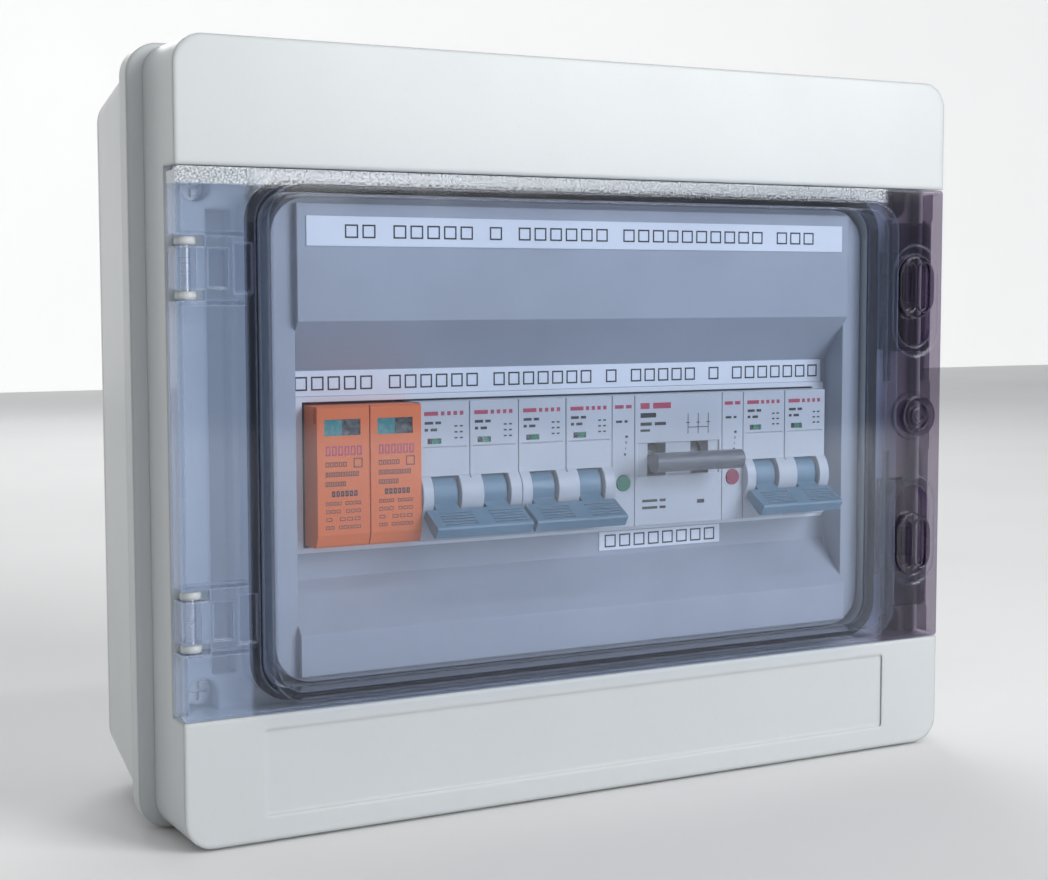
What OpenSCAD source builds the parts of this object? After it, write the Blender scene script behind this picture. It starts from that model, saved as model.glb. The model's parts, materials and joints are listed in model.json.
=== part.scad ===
// Surface-mounted distribution box with a smoked hinged door over one row of
// DIN-rail devices: two surge cartridges, three two-pole breakers, two pilot
// lamps and a three-position changeover switch.
// X runs to the right, Y into the wall and Z up. The origin is the centre of
// the back face, so the whole box lies at negative Y.

/* [Box] */
// Width of the front cover
cover_w = 290; // [280:1:360]
// Height of the front cover
cover_h = 242; // [236:1:320]
// Depth from the wall to the front face of the cover
body_d = 95; // [92:1:130]
// Depth of the front cover, from its front face to the joint with the base
cover_d = 30; // [28:1:40]
// Wall of the cover and of the base
wall = 2.6; // [2:0.1:4]
// Radius of the cover's corners
corner_r = 9; // [5:0.5:14]

/* [Base] */
// How far the base flange stands out past the cover on the left and right
flange_over = 5; // [3:0.5:8]
// Thickness of the base flange
flange_t = 7; // [5:0.5:10]
// How much each side of the base draws in from the flange to the wall
draw_in = 7; // [0:0.5:10]
// Spacing of the wall-fixing holes along X
fix_x = 236; // [200:1:250]
// Spacing of the wall-fixing holes along Z
fix_z = 176; // [140:1:190]
// Radius of the wall-fixing holes
fix_r = 2.7; // [2:0.1:4]
// Radius of the cable entries
entry_r = 12.5; // [8:0.5:13]
// Spacing of the cable entries
entry_pitch = 60; // [40:1:65]

/* [Door] */
// Height of the door opening between the two front bands
door_h = 165; // [160:1:200]
// Gap between the door and the cover
door_gap = 0.4; // [0.3:0.1:1]
// Thickness of the door's plate
door_t = 2.5; // [2:0.1:3.5]
// Height that the lens stands out in front of the door
lens_rise = 11; // [9:0.5:16]
// Width of the lens
lens_w = 236; // [230:1:240]
// Height of the lens
lens_h = 154.5; // [150:0.5:156]
// Radius of the lens's corners
lens_r = 11; // [6:0.5:16]
// Distance of the hinge axis from the door's front and outer faces
hinge_in = 4; // [3.8:0.1:5]
// Radius of the hinge pins
pin_r = 1.5; // [1.2:0.1:1.8]
// Distance of each hinge from the middle of the door
hinge_z = 52.5; // [45:0.5:60]
// Distance of each latch from the middle of the door
latch_z = 42; // [36:0.5:48]
// Travel of each latch
latch_travel = 10; // [6:0.5:12]

/* [Device row] */
// Height of the row's centre above the centre of the box
row_z = -11.5; // [-14:0.5:-6]
// Width of one device module
module_w = 18; // [17.8:0.1:18]
// Depth of the breakers' front face behind the cover's front face
nose_d = 9; // [8:0.5:12]
// Depth of the rail's front face behind the breakers' front face
rail_depth = 57; // [56:0.5:60]
// Height of a device's front that stands through the panel
nose_h = 44.8; // [44:0.1:45]
// Clearance of the panel's window around the devices
window_gap = 0.6; // [0.4:0.1:1]
// Angle that a breaker's toggle turns through
toggle_swing = 66; // [50:1:70]
// Angle that the changeover handle turns to each side
handle_swing = 18; // [10:1:18]

/* [Hidden] */
$fn = 48;

// Small amounts that cuts run past the faces they open
eps = 0.01;
cut = 1;

// ---- Heights of the door opening: it sits half a millimetre above centre
door_cz = 0.5;
door_top = door_cz + door_h / 2;
door_bottom = door_cz - door_h / 2;

// ---- Depths behind the front face of the cover
lip_d = 8;                          // back edge of the door's side lips
side_edge_d = 10.4;                 // front edge of the cover's side walls beside the door
floor_d = 14;                       // front face of the floor behind the door
split_d = cover_d;                  // joint between cover and base
flange_back_d = split_d + flange_t; // back of the base flange
panel_raised_d = 5;                 // raised parts of the inner panel
panel_border_d = 7.5;               // border around the raised parts
trough_d = nose_d + 9;              // floor of the panel's trough
panel_t = 2;                        // thickness of the inner panel
panel_flange_d = floor_d + wall;    // flange that sits behind the cover's floor
rail_d = nose_d + rail_depth;       // front face of the rail
rail_back_d = rail_d + 7.5;         // back face of the rail
back_wall = 3;                      // thickness of the base's back wall

function fy(d) = -body_d + d;       // Y of a depth behind the front face

// ---- Outline sizes
flange_w = cover_w + 2 * flange_over;
flange_h = cover_h + 1;
flange_r = corner_r + 1;
tub_step = 2;                       // tub's side behind the flange's edge
tub_w = flange_w - 2 * tub_step;
tub_h = flange_h - 2 * tub_step;
tub_r = flange_r;

// ---- Cover screws: in the corners of the door opening
screw_x = cover_w / 2 - 10.8;
screw_z = door_h / 2 - 5.3;
post_r = 5.5;
screw_r = 2;
screw_head_r = 4.2;
screw_seat_d = floor_d + 8;          // the heads lie at the bottom of deep pockets

// ---- Lens: a little to the left, because the latches need a wider strip
lens_cx = -2.6;
lens_cz = 0.3;
lens_wall = 2.5;
rim_t = 2.2;                        // wall that the door's gasket lies on
rim_d = door_t + 2.3;               // front edge of that wall
rim_w = lens_w + 2 * 1.2;
rim_h = lens_h + 2 * 1.2;

// ---- Inner panel
panel_w = 226;
panel_h = 150;
raised_w = 211;
raised_h = 146;
trough_half = 33;                   // half height of the trough's floor
slope_half = 48.5;                  // half height of the trough's mouth
panel_r = 12;
raised_r = 7;
panel_flange = 8;                   // how far the flange stands past the panel

// ---- Devices: widths in modules, from the left
spd_1_x = 0;
spd_2_x = 1;
mcb_1_x = 2;
mcb_2_x = 4;
green_x = 6;
change_x = 6.5;
red_x = 8.5;
mcb_3_x = 9;
row_modules = 11;
row_w = row_modules * module_w;
function mx(m) = -row_w / 2 + m * module_w;  // X of a place along the row, in modules
side_gap = 0.15;                    // each device is this much narrower on each side

window_w = row_w + 2 * window_gap;
window_h = nose_h + 2 * window_gap;

// ---- Device body, depths behind the front face and heights from the row's centre
shoulder_d = rail_d - 44;
body_half = 42;
flange_half = 17.5;                 // half height of the rail
flange_lip = 4;
rail_t = 1;
hook = 2.4;                         // how far a device hooks behind the rail
hook_t = 1.6;
hook_gap = 0.2;
terminal_z = 34;                    // terminal screws, from the row's centre
terminal_hole_r = 2.8;
terminal_screw_r = 2.5;
terminal_depth = 12;
cable_hole_r = 2.6;
cable_hole_d = rail_d - 20;         // cable holes behind the terminal screws
earth_hole_d = rail_d - 9;
cable_hole_depth = 12;

// ---- Breaker toggle, relative to the row's centre
pivot_d = nose_d + 6;
pivot_z = -8;
hump_r = 9;
pocket_r = 7.9;
drum_r = 7.5;
slot_w = module_w - 8;
drum_w = slot_w - 1.6;
slot_in = (module_w - slot_w) / 2 - 0.2; // slot's left edge from the pole's left edge
slot_half = 6.4;                    // half height of the slot at the hump
toggle_rest = -toggle_swing / 2;    // angle of the toggle's arm at rest, down
arm_t = 3.2;
grip_from = 9.9;
grip_to = 19.6;
grip_w = 2 * module_w - 1.6;
axle_r = 1.6;

// ---- Changeover handle, relative to the row's centre
handle_d = nose_d + 12;
handle_z = 0.2;
handle_bar_d = nose_d - 11.5;
handle_bar_r = 3.3;
handle_slot_w = 7.4;
handle_arm_w = 6.4;
handle_arm_t = 3;
handle_slot_x = [module_w / 2 + 0.2, 1.5 * module_w - 0.2]; // middle of each slot from the switch's left edge
handle_slot_half = (handle_d - nose_d) * tan(handle_swing) + handle_arm_t / 2 / cos(handle_swing) + 0.2;
handle_pocket_r = 8.6;
handle_drum_r = 8.2;

// ---- Surge cartridge
cart_d = nose_d - 2;                // front face
cart_h = nose_h - 0.6;
cart_back_d = rail_d - 16;
blade_len = 12;
blade_t = 1.2;
blade_h = 7;
blade_z = 14;

// ---- Pilot lamps
lamp_r = 2.7;
lamp_z = -7.4;

// ---- Labels
label_t = 0.3;
tape_h = 8;

// ---- Latches
latch_x = cover_w / 2 - 12;
knob_r = 7.8;
knob_h = 22.6;
slot_r = knob_r + 0.3;
slot_h = knob_h + latch_travel + 0.8;
carrier_w = 17.4;
carrier_t = 1.8;
carrier_gap = 0.3;
carrier_h = knob_h + 2 * latch_travel + 4;
hook_len = 11.4;
lock_r = 6.4;
keeper_half_w = 7;                  // half width of the opening each latch's hook goes through
keeper_half_h = latch_travel + 8;

// ---- Bars and wires
bar_len = 110;
bar_pitch = 11;
bar_count = 9;
neutral_bar_z = 78;
earth_bar_z = -90;
bar_d = rail_d + 4;
wire_r = 1.9;

// ==== Helpers ====

// Flat rounded rectangle about the origin
module rounded_rect(w, h, r) {
    if (w > 2 * r) square([w - 2 * r, h], center = true);
    if (h > 2 * r) square([w, h - 2 * r], center = true);
    for (x = [-1, 1], z = [-1, 1]) translate([x * (w / 2 - r), z * (h / 2 - r)]) circle(r);
}

// Rounded plate facing the front, between two depths
module slab(w, h, r, d0, d1, x = 0, z = 0) {
    translate([x, fy(d1), z]) rotate([90, 0, 0]) linear_extrude(d1 - d0) rounded_rect(w, h, r);
}

// Box between two X values, two Z values and two depths
module block(x0, x1, z0, z1, d0, d1) {
    translate([x0, fy(d0), z0]) cube([x1 - x0, d1 - d0, z1 - z0]);
}

// Round bar along Y between two depths
module peg(r, d0, d1, x, z) {
    translate([x, fy(d1), z]) rotate([90, 0, 0]) cylinder(r = r, h = d1 - d0);
}

// Round bar along Z
module post(r, z0, z1, x, d) {
    translate([x, fy(d), z0]) cylinder(r = r, h = z1 - z0);
}

// Round bar along X
module roller(r, x0, x1, d, z) {
    translate([x0, fy(d), z]) rotate([0, 90, 0]) cylinder(r = r, h = x1 - x0);
}

// Outline drawn as depth and height, drawn out along X
module side_profile(x0, x1) {
    translate([x0, -body_d, 0]) rotate([90, 0, 90]) linear_extrude(x1 - x0) children();
}

// Shape set at the left edge of a device and at the row's height
module in_row(m) {
    translate([mx(m), 0, row_z]) children();
}

// ==== Base ====

// Tapered tub: an outline at the flange drawn in towards the wall
module tub(inset, d0, d1) {
    slope = draw_in / (body_d - flange_back_d);
    w0 = tub_w - 2 * inset - 2 * slope * (d0 - flange_back_d);
    h0 = tub_h - 2 * inset - 2 * slope * (d0 - flange_back_d);
    w1 = tub_w - 2 * inset - 2 * slope * (d1 - flange_back_d);
    h1 = tub_h - 2 * inset - 2 * slope * (d1 - flange_back_d);
    hull() {
        slab(w0, h0, tub_r - inset, d0, d0 + eps);
        slab(w1, h1, tub_r - inset, d1 - eps, d1);
    }
}

pad_half_w = entry_pitch + entry_r + 8;
pad_z = tub_h / 2 - 0.28 * draw_in;
entry_d = (flange_back_d + body_d) / 2 + 2;

back_d = body_d - back_wall;        // front of the back wall

// Flange ring that the cover stands on
module base_flange() {
    color([0.86, 0.87, 0.87]) difference() {
        slab(flange_w, flange_h, flange_r, split_d, flange_back_d);
        slab(cover_w - 4 * wall, cover_h - 4 * wall, corner_r - wall, split_d - cut, flange_back_d + cut);
        slab(cover_w - 2 * wall + groove_w, cover_h - 2 * wall + groove_w, corner_r, split_d - cut, split_d + 2.5);
    }
    color([0.86, 0.87, 0.87]) difference() {
        slab(cover_w - 2 * wall - groove_w, cover_h - 2 * wall - groove_w, corner_r - wall, split_d,
             split_d + 2.5 + eps);
        slab(cover_w - 4 * wall, cover_h - 4 * wall, corner_r - wall, split_d - cut, flange_back_d + cut);
    }
}

// Tapered side walls, with a flat pad above and below for the cable entries
module base_sides() {
    color([0.86, 0.87, 0.87]) difference() {
        union() {
            tub(0, flange_back_d, back_d);
            for (s = [-1, 1])
                block(-pad_half_w, pad_half_w, s > 0 ? pad_z - 9 : -pad_z, s > 0 ? pad_z : -pad_z + 9,
                      flange_back_d, body_d - 6);
        }
        tub(wall, flange_back_d - cut, back_d + cut);
        for (s = [-1, 1]) {
            block(-pad_half_w + wall, pad_half_w - wall, s > 0 ? pad_z - 12 : -pad_z + wall,
                  s > 0 ? pad_z - wall : -pad_z + 12, flange_back_d - cut, body_d - 6 - wall);
            for (i = [-1, 0, 1])
                post(entry_r, s > 0 ? pad_z - wall - cut : -pad_z - cut, s > 0 ? pad_z + cut : -pad_z + wall + cut,
                     i * entry_pitch, entry_d);
        }
    }
}

// Back wall with the bosses round its holes and the stand-offs of the rail and bars
module base_back() {
    color([0.86, 0.87, 0.87]) difference() {
        union() {
            tub(0, back_d, body_d);
            for (x = [-1, 1], z = [-1, 1]) peg(7, back_d - 4, back_d + eps, x * fix_x / 2, z * fix_z / 2);
            for (x = rail_screw_x) block(x - 8, x + 8, row_z - 16, row_z + 16, rail_back_d, back_d + eps);
            for (z = [neutral_bar_z, earth_bar_z], x = holder_x)
                block(x - 5, x + 5, z - 6, z + 6, holder_d, back_d + eps);
        }
        for (x = [-1, 1], z = [-1, 1]) peg(fix_r, back_d - 4 - cut, body_d + cut, x * fix_x / 2, z * fix_z / 2);
        for (x = rail_screw_x) peg(screw_r, rail_back_d - cut, rail_back_d + 12, x, row_z);
    }
}

// Posts that the cover screws bite into
module screw_posts() {
    color([0.86, 0.87, 0.87]) difference() {
        intersection() {
            tub(wall, split_d, body_d);
            for (x = [-1, 1], z = [-1, 1]) peg(post_r, split_d + 1, back_d, x * screw_x, door_cz + z * screw_z);
        }
        for (x = [-1, 1], z = [-1, 1]) peg(screw_r, split_d, body_d - 30, x * screw_x, door_cz + z * screw_z);
    }
}

rail_screw_x = [-row_w / 2 + 4, row_w / 2 - 4];
holder_x = [-bar_len / 2 + 8, bar_len / 2 - 8];
holder_d = bar_d + 10;

// Groove in the base flange that holds the gasket
groove_w = 3;
module base_gasket() {
    color([0.15, 0.15, 0.16]) difference() {
        slab(cover_w - 2 * wall + groove_w, cover_h - 2 * wall + groove_w, corner_r, split_d, split_d + 2);
        slab(cover_w - 2 * wall - groove_w, cover_h - 2 * wall - groove_w, corner_r - wall, split_d - cut,
             split_d + 3);
    }
}

// Plugs that close the cable entries until a gland is fitted
module entry_plugs() {
    color([0.82, 0.83, 0.83]) for (s = [-1, 1], i = [-1, 0, 1])
        translate([i * entry_pitch, fy(entry_d), s * pad_z]) mirror([0, 0, s < 0 ? 1 : 0]) difference() {
            union() {
                cylinder(r = entry_r + 2, h = 1.8);
                translate([0, 0, -wall - 4]) cylinder(r = entry_r, h = wall + 4 + eps);
            }
            translate([0, 0, -wall - 4 - cut]) cylinder(r = entry_r - 1.8, h = wall + 4);
        }
}

// ==== Front cover ====

module door_zone(d0, d1, grow = 0) {
    block(-cover_w, cover_w, door_bottom - grow, door_top + grow, d0, d1);
}

module front_cover() {
    color([0.88, 0.89, 0.89]) difference() {
        union() {
            difference() {
                slab(cover_w, cover_h, corner_r, 0, split_d);
                slab(cover_w - 2 * wall, cover_h - 2 * wall, corner_r - wall, wall, split_d + cut);
                door_zone(-cut, side_edge_d);
            }
            cover_floor();
            cover_lugs();
        }
        label_recess();
        for (x = [-1, 1], z = [-1, 1]) {
            peg(screw_r + 0.3, floor_d - cut, split_d + 2, x * screw_x, door_cz + z * screw_z);
            peg(screw_head_r + 0.5, floor_d - cut, screw_seat_d, x * screw_x, door_cz + z * screw_z);
            block(x * screw_x - screw_head_r - 0.5, x * screw_x + screw_head_r + 0.5,
                  z > 0 ? door_cz + screw_z : door_bottom, z > 0 ? door_top : door_cz - screw_z, floor_d - cut,
                  screw_seat_d);
        }
        for (z = [-1, 1])
            block(latch_x - keeper_half_w, latch_x + keeper_half_w, door_cz + z * latch_z - keeper_half_h,
                  door_cz + z * latch_z + keeper_half_h, floor_d - cut, panel_flange_d + cut);
        for (z = [-1, 1]) hinge_bore(z, pin_r);
    }
}

// Floor behind the door, the walls beside it and the rim around the window
module cover_floor() {
    inner_w = cover_w - 2 * wall + 2 * eps;
    difference() {
        union() {
            block(-inner_w / 2, inner_w / 2, door_bottom - wall, door_top + wall, floor_d, panel_flange_d);
            for (s = [-1, 1])
                block(-inner_w / 2, inner_w / 2, s > 0 ? door_top : door_bottom - wall,
                      s > 0 ? door_top + wall : door_bottom, wall - eps, floor_d + eps);
            slab(rim_w, rim_h, lens_r + 1, rim_d, panel_flange_d, lens_cx, lens_cz);
            for (x = [-1, 1], z = [-1, 1]) {
                peg(post_r + 2, floor_d + eps, split_d - 1, x * screw_x, door_cz + z * screw_z);
                peg(post_r, floor_d + eps, split_d + 1, x * screw_x, door_cz + z * screw_z);
            }
            gutter(0);
        }
        gutter(gutter_wall);
        slab(rim_w - 2 * rim_t, rim_h - 2 * rim_t, lens_r - 1, rim_d - cut, panel_flange_d + cut, lens_cx, lens_cz);
    }
}

// Deep channel in the floor, beside the rim
gutter_wall = 1.6;
gutter_d = floor_d + 9;
module gutter(inset) {
    x1 = lens_cx - rim_w / 2;
    block(x1 - 11 + inset, x1 - inset, -rim_h / 2 + 6 + inset, rim_h / 2 - 6 - inset,
          inset > 0 ? floor_d - cut : floor_d, gutter_d - inset);
}

// Shallow panel for a label in the lower band
label_w = 239;
label_deep = 0.5;
module label_recess() {
    band = door_bottom + cover_h / 2;
    slab(label_w, band - 12.5, 1, -cut, label_deep, 0, door_bottom - band / 2 + 1.5);
}

// ==== Hinge ====

hinge_x = -cover_w / 2 + hinge_in;
knuckle_r = 3.2;
knuckle_half = 6.4;                 // half length of the door's knuckle
lug_t = 2.4;                        // thickness of each of the cover's lugs
lug_gap = 0.4;
lug_z = knuckle_half + lug_gap + lug_t / 2;
pin_half = knuckle_half + lug_gap + lug_t;
notch_x = hinge_x + knuckle_r + 1.6; // inner end of the door's notches for the lugs

// Lugs that stand on the cover's floor and hold the hinge pins
module cover_lugs() {
    for (s = [-1, 1], t = [-1, 1]) {
        z = door_cz + s * hinge_z + t * lug_z;
        post(knuckle_r, z - lug_t / 2, z + lug_t / 2, hinge_x, hinge_in);
        block(hinge_x - 1.2, hinge_x + knuckle_r, z - lug_t / 2, z + lug_t / 2, hinge_in, floor_d + eps);
    }
}

module hinge_bore(s, r) {
    z = door_cz + s * hinge_z;
    post(r, z - pin_half - cut, z + pin_half + cut, hinge_x, hinge_in);
}

module hinge_pins() {
    color([0.75, 0.75, 0.77]) for (s = [-1, 1]) {
        z = door_cz + s * hinge_z;
        post(pin_r, z - pin_half, z + pin_half, hinge_x, hinge_in);
    }
}

// ==== Door ====

door_w = cover_w;
door_plate_h = door_h - 2 * door_gap;

module door() {
    color([0.35, 0.4, 0.5, 0.45]) difference() {
        union() {
            slab(door_w, door_plate_h, 1.2, 0, door_t, 0, door_cz);
            for (s = [-1, 1])
                block(s > 0 ? door_w / 2 - door_t : -door_w / 2, s > 0 ? door_w / 2 : -door_w / 2 + door_t,
                      door_cz - door_plate_h / 2 + 1.2, door_cz + door_plate_h / 2 - 1.2, door_t - eps, lip_d);
            slab(lens_w, lens_h, lens_r, -lens_rise, door_t, lens_cx, lens_cz);
            for (s = [-1, 1]) door_knuckle(s);
            for (s = [-1, 1]) latch_guides(s);
            peg(lock_r + 2.4, 0, door_t + 2, latch_x + 1.4, door_cz);
        }
        slab(lens_w - 2 * lens_wall, lens_h - 2 * lens_wall, lens_r - lens_wall, -lens_rise + door_t, door_t + 10,
             lens_cx, lens_cz);
        for (s = [-1, 1]) {
            z = door_cz + s * hinge_z;
            for (t = [-1, 1])
                block(-door_w / 2 - cut, notch_x, z + t * lug_z - lug_t / 2 - lug_gap,
                      z + t * lug_z + lug_t / 2 + lug_gap, -cut, lip_d + cut);
            block(notch_x + 1, notch_x + 7, z - knuckle_half + 0.6, z + knuckle_half - 0.6, -cut, 1.2);
            block(notch_x + 9, lens_cx - lens_w / 2 - 1, z - knuckle_half - 1, z + knuckle_half + 1, -cut, 0.8);
            hinge_bore(s, pin_r + 0.1);
            slab(2 * slot_r, slot_h, slot_r, -cut, door_t + cut, latch_x, latch_slot_z(s));
            slab(2 * slot_r + 4.4, slot_h + 7, slot_r + 2.2, -cut, 0.5, latch_x, latch_slot_z(s));
        }
        peg(lock_r, -cut, door_t + 2 + cut, latch_x + 1.4, door_cz);
    }
}

// Knuckle on the door's edge, and a rib above and below it
module door_knuckle(s) {
    z = door_cz + s * hinge_z;
    post(knuckle_r, z - knuckle_half, z + knuckle_half, hinge_x, hinge_in);
    for (t = [-1, 1]) {
        rib_z = z + t * (lug_z + lug_t / 2 + lug_gap + 0.6);
        block(-door_w / 2 + door_t - eps, lens_cx - rim_w / 2 - 1.4, rib_z - 0.6, rib_z + 0.6, door_t - eps, lip_d);
    }
}

// The slot's middle: the knob rests at its outer end
function latch_slot_z(s) = door_cz + s * latch_z;
function knob_rest_z(s) = door_cz + s * (latch_z + latch_travel / 2);

// Rails behind the door that carry each latch
module latch_guides(s) {
    z = latch_slot_z(s);
    half = (carrier_h + latch_travel) / 2 + 1;
    for (t = [-1, 1]) {
        x = latch_x + t * (carrier_w / 2 + carrier_gap + 0.5);
        back = door_t + carrier_t + 2 * carrier_gap;
        block(x - 0.5, x + 0.5, z - half, z + half, door_t - eps, back + 1);
        block(x - 0.5 - (t > 0 ? 1.5 : 0), x + 0.5 + (t > 0 ? 0 : 1.5), z - half, z + half, back, back + 1);
    }
}

module latch(s) {
    kz = knob_rest_z(s);
    front = -0.8;
    carrier = door_t + carrier_gap;
    color([0.3, 0.28, 0.33, 0.8]) {
        difference() {
            slab(2 * knob_r, knob_h, knob_r, front, carrier + eps, latch_x, kz);
            for (t = [-1, 1])
                slab(knob_r - 2.4, knob_h - 5, (knob_r - 2.4) / 2, front - cut, front + 1.8,
                     latch_x + t * (knob_r / 2 - 0.4), kz);
        }
        slab(carrier_w, carrier_h, 2, carrier, carrier + carrier_t, latch_x, kz);
        block(latch_x - 3, latch_x + 3, kz - 5, kz + 5, carrier + carrier_t - eps, carrier + carrier_t + hook_len);
    }
}

module upper_latch() { latch(1); }
module lower_latch() { latch(-1); }

// Rubber seal on the back of the door, around the lens
module door_gasket() {
    color([0.12, 0.12, 0.13]) difference() {
        slab(rim_w + 1.4, rim_h + 1.4, lens_r + 1.7, door_t, rim_d - 0.3, lens_cx, lens_cz);
        slab(rim_w - 2 * rim_t - 1.2, rim_h - 2 * rim_t - 1.2, lens_r - 1.6, door_t - cut, rim_d + cut,
             lens_cx, lens_cz);
    }
}

// Plug in the place of a key lock
module lock_plug() {
    color([0.3, 0.28, 0.33, 0.8]) difference() {
        union() {
            peg(lock_r, -0.6, door_t + 2, latch_x + 1.4, door_cz);
            peg(lock_r + 1, -1.2, 0, latch_x + 1.4, door_cz);
        }
        difference() {
            peg(4.6, -1.2 - cut, 1, latch_x + 1.4, door_cz);
            peg(3.2, -1.2 - 2 * cut, 2, latch_x + 1.4, door_cz);
        }
        peg(1.8, -1.2 - cut, 0.4, latch_x + 1.4, door_cz);
    }
}

module cover_screws() {
    color([0.8, 0.8, 0.78]) for (x = [-1, 1], z = [-1, 1])
        translate([x * screw_x, fy(screw_seat_d - 2.4), door_cz + z * screw_z]) rotate([-90, 0, 0]) difference() {
            union() {
                cylinder(r = screw_head_r, h = 2.4);
                cylinder(r = screw_r, h = 26);
            }
            for (a = [0, 90]) rotate([0, 0, a]) translate([-3, -0.5, -cut]) cube([6, 1, cut + 1.2]);
        }
}

// ==== Inner panel ====

// Folded plate: raised above and below, with a trough along the devices
module panel_fold() {
    top = raised_h / 2;
    z = row_z;
    polygon([
        [panel_raised_d, top], [panel_raised_d, z + slope_half], [trough_d, z + trough_half],
        [trough_d, z - trough_half], [panel_raised_d, z - slope_half], [panel_raised_d, -top],
        [panel_raised_d + panel_t, -top], [panel_raised_d + panel_t, z - slope_half - 0.8],
        [trough_d + panel_t, z - trough_half - 0.8], [trough_d + panel_t, z + trough_half + 0.8],
        [panel_raised_d + panel_t, z + slope_half + 0.8], [panel_raised_d + panel_t, top],
    ]);
}

// Solid under the trough's mouth, used to shape its end walls
module trough_end() {
    z = row_z;
    polygon([
        [panel_border_d, z + slope_half], [trough_d + panel_t, z + trough_half],
        [trough_d + panel_t, z - trough_half], [panel_border_d, z - slope_half],
    ]);
}

module inner_panel() {
    half = raised_w / 2;
    color([0.8, 0.82, 0.84]) difference() {
        union() {
            side_profile(-half, half) panel_fold();
            for (s = [-1, 1]) side_profile(s > 0 ? half - eps : -half - panel_t, s > 0 ? half + panel_t : -half + eps)
                trough_end();
            difference() {
                union() {
                    slab(panel_w, panel_h, panel_r, panel_border_d, panel_flange_d);
                    slab(raised_w, raised_h, raised_r, panel_raised_d, panel_border_d + eps);
                    slab(panel_w + 2 * panel_flange, panel_h + 2 * panel_flange, panel_r, panel_flange_d,
                         panel_flange_d + panel_t);
                }
                slab(raised_w - 2 * panel_t, raised_h - 2 * panel_t, raised_r - panel_t, panel_raised_d + panel_t,
                     panel_flange_d + panel_t + cut);
                slab(panel_w - 2 * panel_t, panel_h - 2 * panel_t, panel_r - panel_t, panel_border_d + panel_t,
                     panel_flange_d + panel_t + cut);
                side_profile(-half, half) polygon([
                    [panel_raised_d - cut, row_z + slope_half + 0.8],
                    [panel_raised_d + panel_t, row_z + slope_half + 0.8],
                    [trough_d + 10, row_z + slope_half], [trough_d + 10, row_z - slope_half],
                    [panel_raised_d + panel_t, row_z - slope_half - 0.8],
                    [panel_raised_d - cut, row_z - slope_half - 0.8],
                ]);
            }
        }
        block(-window_w / 2, window_w / 2, row_z - window_h / 2, row_z + window_h / 2, trough_d - cut,
              trough_d + panel_t + cut);
    }
}

// White surround of the window
trim_t = 0.8;
module aperture_trim() {
    color([0.95, 0.95, 0.96]) difference() {
        slab(raised_w - 2, window_h + 3.4, 1, trough_d - trim_t, trough_d, 0, row_z);
        block(-window_w / 2, window_w / 2, row_z - window_h / 2, row_z + window_h / 2, trough_d - trim_t - cut,
              trough_d + cut);
    }
}

module label(w, h, d, x, z) {
    color([0.97, 0.97, 0.97]) block(x - w / 2, x + w / 2, z - h / 2, z + h / 2, d - label_t, d);
}

module title_label() { label(raised_w - 6, tape_h + 1.2, panel_raised_d, 0, raised_h / 2 - 8.4); }
module circuit_label() { label(raised_w - 4, tape_h, trough_d, 0, row_z + trough_half - 0.2 - tape_h / 2); }
module switch_label() { label(50, 6.4, trough_d, mx(change_x + 0.9), row_z - window_h / 2 - 5.2); }

// ==== Rail and bars ====

module din_rail() {
    color([0.72, 0.73, 0.75]) difference() {
        side_profile(-row_w / 2 - 9, row_w / 2 + 9) union() {
            for (s = [-1, 1]) {
                translate([rail_d, row_z + (s > 0 ? flange_half - flange_lip : -flange_half)])
                    square([rail_t, flange_lip]);
                translate([rail_d, row_z + (s > 0 ? flange_half - flange_lip - rail_t : -flange_half + flange_lip)])
                    square([rail_back_d - rail_d, rail_t]);
            }
            translate([rail_back_d - rail_t, row_z - flange_half + flange_lip])
                square([rail_t, 2 * (flange_half - flange_lip)]);
        }
        for (x = rail_screw_x) peg(screw_r + 0.4, rail_back_d - 3, rail_back_d + cut, x, row_z);
    }
}

module rail_screws() {
    color([0.8, 0.8, 0.78]) for (x = rail_screw_x) {
        peg(4, rail_back_d - rail_t - 2.4, rail_back_d - rail_t, x, row_z);
        peg(screw_r, rail_back_d - rail_t - eps, rail_back_d + 11, x, row_z);
    }
}

module terminal_bar(z) {
    difference() {
        block(-bar_len / 2, bar_len / 2, z - 4, z + 4, bar_d, bar_d + 8);
        for (i = [0:bar_count - 1]) peg(1.9, bar_d - cut, bar_d + 6, (i - (bar_count - 1) / 2) * bar_pitch, z);
    }
}

module bar_screws(z) {
    for (i = [0:bar_count - 1]) {
        x = (i - (bar_count - 1) / 2) * bar_pitch;
        difference() {
            union() {
                peg(1.9, bar_d - eps, bar_d + 5, x, z);
                peg(3, bar_d - 1.8, bar_d, x, z);
            }
            block(x - 3.5, x + 3.5, z - 0.4, z + 0.4, bar_d - 2.8, bar_d - 0.9);
        }
    }
}

// Insulating block that each end of a bar lies on
module bar_holders(z) {
    for (x = holder_x) difference() {
        block(x - 5, x + 5, z - 6.5, z + 6.5, bar_d + 1, holder_d);
        block(x - 5 - cut, x + 5 + cut, z - 4, z + 4, bar_d, bar_d + 8);
    }
}

module neutral_bar() { color([0.8, 0.65, 0.3]) terminal_bar(neutral_bar_z); }
module earth_bar() { color([0.8, 0.65, 0.3]) terminal_bar(earth_bar_z); }
module neutral_bar_screws() { color([0.75, 0.75, 0.74]) bar_screws(neutral_bar_z); }
module earth_bar_screws() { color([0.75, 0.75, 0.74]) bar_screws(earth_bar_z); }
module neutral_bar_holders() { color([0.15, 0.3, 0.7]) bar_holders(neutral_bar_z); }
module earth_bar_holders() { color([0.15, 0.5, 0.2]) bar_holders(earth_bar_z); }

// ==== Devices ====

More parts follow.
